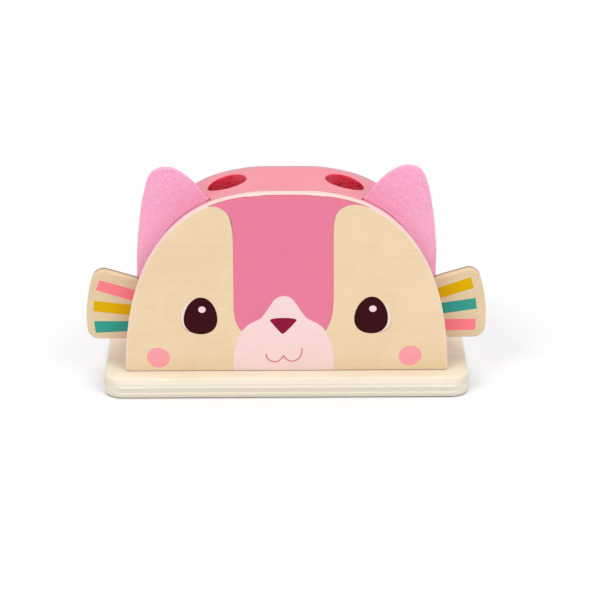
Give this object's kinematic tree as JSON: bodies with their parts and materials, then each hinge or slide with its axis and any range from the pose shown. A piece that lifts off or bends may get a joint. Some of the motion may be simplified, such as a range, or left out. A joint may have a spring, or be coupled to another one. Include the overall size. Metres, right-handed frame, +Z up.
{
  "type": "pop up animal toy",
  "caption": "Wooden pop-up toy: a domed animal head with felt ears on a base plate, whose side paddles are levers that lift round-headed pegs out of holes in its top.",
  "frame": {"origin": "centre of the base plate's underside", "axes": "+Z up, the face looks along -Y, +X to the viewer's right along the base plate's long side"},
  "size_m": [0.2204, 0.08, 0.1244],
  "materials": {
    "base_plywood": "clear matt varnish on birch plywood",
    "body_paint": "pink satin paint on solid wood",
    "face_plywood": "clear matt varnish on birch plywood, printed face",
    "ear_felt": "thick pink felt",
    "paddle_plywood": "clear matt varnish on birch plywood, printed stripes",
    "steel": "bright drawn steel",
    "dowel_wood": "bare beech dowel",
    "peg_paint": "red satin paint on turned wood",
    "peg_head_wood": "clear satin varnish on turned wood, printed face"
  },
  "bodies": {
    "frame": {"base_plate": "base_plywood", "body_block": "body_paint", "face_panel": "face_plywood", "left_ear": "ear_felt", "right_ear": "ear_felt", "left_pivot_pin": "steel", "right_pivot_pin": "steel", "base_screws": "steel", "panel_dowels": "dowel_wood"},
    "left_paddle": {"left_paddle": "paddle_plywood", "left_lift_dowel": "dowel_wood"},
    "right_paddle": {"right_paddle": "paddle_plywood", "right_lift_dowel": "dowel_wood"},
    "left_peg": {"left_peg_stem": "peg_paint", "left_peg_collar": "dowel_wood", "left_peg_head": "peg_head_wood"},
    "right_peg": {"right_peg_stem": "peg_paint", "right_peg_collar": "dowel_wood", "right_peg_head": "peg_head_wood"}
  },
  "joints": [
    {"name": "left_press", "type": "hinge", "parent": "frame", "child": "left_paddle", "pos_m": [-0.076, -0.0105, 0.046], "axis": [0, -1, 0], "range_deg": [-0.5, 31]},
    {"name": "left_pop", "type": "slide", "parent": "frame", "child": "left_peg", "axis": [0, 0, 1], "range_m": [0, 0.02304]},
    {"name": "right_press", "type": "hinge", "parent": "frame", "child": "right_paddle", "pos_m": [0.076, -0.0105, 0.046], "axis": [0, 1, 0], "range_deg": [-0.5, 31]},
    {"name": "right_pop", "type": "slide", "parent": "frame", "child": "right_peg", "axis": [0, 0, 1], "range_m": [0, 0.02304]}
  ],
  "couplings": [
    {"joint": "left_press", "follows": "left_pop", "rad_per_m": 22.722},
    {"joint": "right_press", "follows": "right_pop", "rad_per_m": 22.722}
  ]
}
